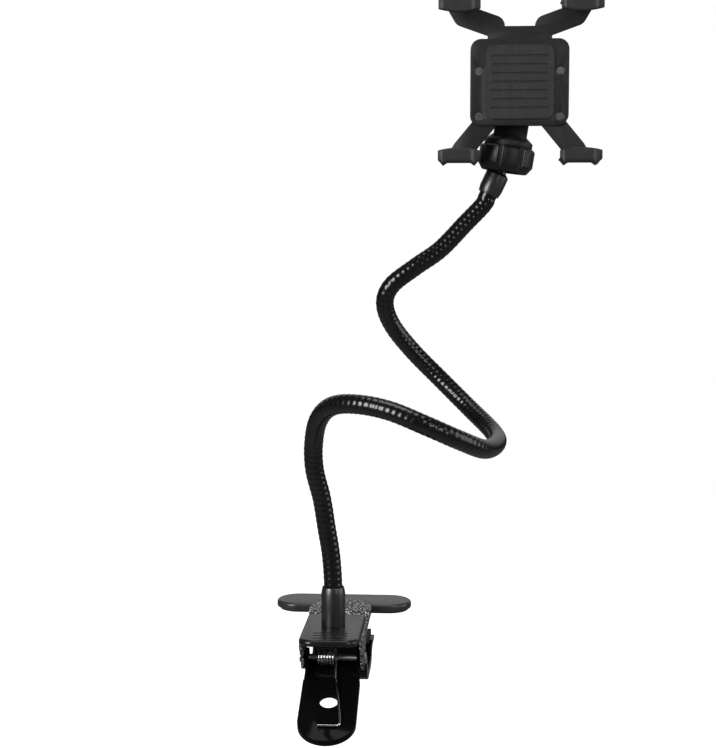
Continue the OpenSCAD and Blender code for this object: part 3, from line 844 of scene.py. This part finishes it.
# Strength of the world as light, and of what reflections show in front and high up behind
WORLD_LIGHT = 0.4
FRONT_GLOSS = 0.03
BACK_GLOSS = 0.62

# Where the bright part of the reflected room begins and is full, backwards and upwards
BACK_SPAN = (0.5, 0.97)
RISE_SPAN = (0.0, 0.2)

MIDDLE = (0.03, -0.05, 0.12)

# Name, place, target, width, height and power of each lamp
LAMPS = [
    ("key", (-0.68, -0.8, 0.42), MIDDLE, 0.38, 0.66, 11.5),
    ("fill", (0.6, -0.85, 0.5), MIDDLE, 0.14, 0.6, 2),
    ("side", (1.1, -0.1, 0.35), MIDDLE, 0.8, 0.8, 4),
    ("top", (0.05, 0.0, 1.3), (0.03, -0.05, 0.1), 0.8, 0.6, 5),
]


def make_floor():
    """White to the camera, grey and without glow to the light on the object."""
    floor_z = cad_box[0][2] - FLOOR_DROP
    bpy.ops.mesh.primitive_plane_add(size=FLOOR_SIZE, location=(0, 0, floor_z))
    floor = bpy.context.object
    floor.name = "floor"
    m = Nodes("floor_paper")
    camera_ray = m.tree.nodes.new("ShaderNodeLightPath").outputs["Is Camera Ray"]
    m.colour(camera_ray, (FLOOR_BOUNCE,) * 3, (FLOOR_WHITE,) * 3, 0, 1)
    m.rough(m.noise(40), 0.7, 0.8)
    m.set(Emission_Color=(1, 1, 1, 1))
    m.link(m.ramp(camera_ray, 0, FLOOR_GLOW), m.shader.inputs["Emission Strength"])
    floor.data.materials.append(m.material)


def make_world():
    """White to the camera, a soft room to the light, and darker in front to reflections."""
    world = bpy.data.worlds.new("studio")
    world.use_nodes = True
    tree = world.node_tree

    def new(kind):
        return tree.nodes.new("ShaderNode" + kind)

    def ranged(source, low, high, span):
        node = new("MapRange")
        node.interpolation_type = "SMOOTHSTEP"
        node.inputs["From Min"].default_value = span[0]
        node.inputs["From Max"].default_value = span[1]
        node.inputs["To Min"].default_value = low
        node.inputs["To Max"].default_value = high
        tree.links.new(source, node.inputs["Value"])
        return node.outputs["Result"]

    def mixed(factor, a, b):
        node = new("Mix")
        node.data_type = "FLOAT"
        tree.links.new(factor, node.inputs["Factor"])
        for socket, value in ((node.inputs["A"], a), (node.inputs["B"], b)):
            if isinstance(value, float):
                socket.default_value = value
            else:
                tree.links.new(value, socket)
        return node.outputs["Result"]

    path = new("LightPath").outputs
    direction = new("SeparateXYZ")
    tree.links.new(new("TexCoord").outputs["Generated"], direction.inputs["Vector"])
    behind = ranged(direction.outputs["Y"], 0.0, 1.0, BACK_SPAN)
    above = ranged(direction.outputs["Z"], FRONT_GLOSS, BACK_GLOSS, RISE_SPAN)
    seen_in_gloss = mixed(behind, FRONT_GLOSS, above)
    strength = mixed(path["Is Glossy Ray"], WORLD_LIGHT, seen_in_gloss)
    strength = mixed(path["Is Transmission Ray"], strength, 1.0)
    strength = mixed(path["Is Camera Ray"], strength, 1.0)
    tree.links.new(strength, tree.nodes["Background"].inputs["Strength"])
    tree.nodes["Background"].inputs["Color"].default_value = (1, 1, 1, 1)
    bpy.context.scene.world = world


def area_light(name, place, target, width, height, power):
    data = bpy.data.lights.new(name, "AREA")
    data.shape = "RECTANGLE"
    data.size = width
    data.size_y = height
    data.energy = power
    light = bpy.data.objects.new(name, data)
    light.location = place
    aim = Vector(target) - Vector(place)
    light.rotation_euler = aim.to_track_quat("-Z", "Y").to_euler()
    bpy.context.scene.collection.objects.link(light)


# The whole scene

# Width in millimetres and segments of the rounded edges on copies of CAD nodes
SOFT_EDGES = {
    "clamp_frame": (0.35, 2),
    "lower_lever": (0.55, 3),
    "base_ferrule": (0.4, 3),
    "top_ferrule": (0.4, 3),
    "lock_nut": (0.5, 3),
    "swivel_arm": (0.5, 2),
    "rear_housing": (0.45, 2),
    "front_cover": (0.35, 2),
    "upper_yoke": (0.35, 2),
    "jaw_pad": (0.4, 2),
    "bar_sole": (0.3, 2),
    "pivot_pin": (0.25, 2),
}

make_camera()
paint_nodes()
make_hose()
make_torsion_spring()
make_yoke_springs()
make_wing_bar()
make_thumb_plate()
for boot in BOOTS:
    make_boot(boot)
for node, (width, segments) in SOFT_EDGES.items():
    soften(node, width * MM, segments)
make_floor()
make_world()
for lamp in LAMPS:
    area_light(*lamp)

bpy.context.scene.view_settings.view_transform = "Standard"
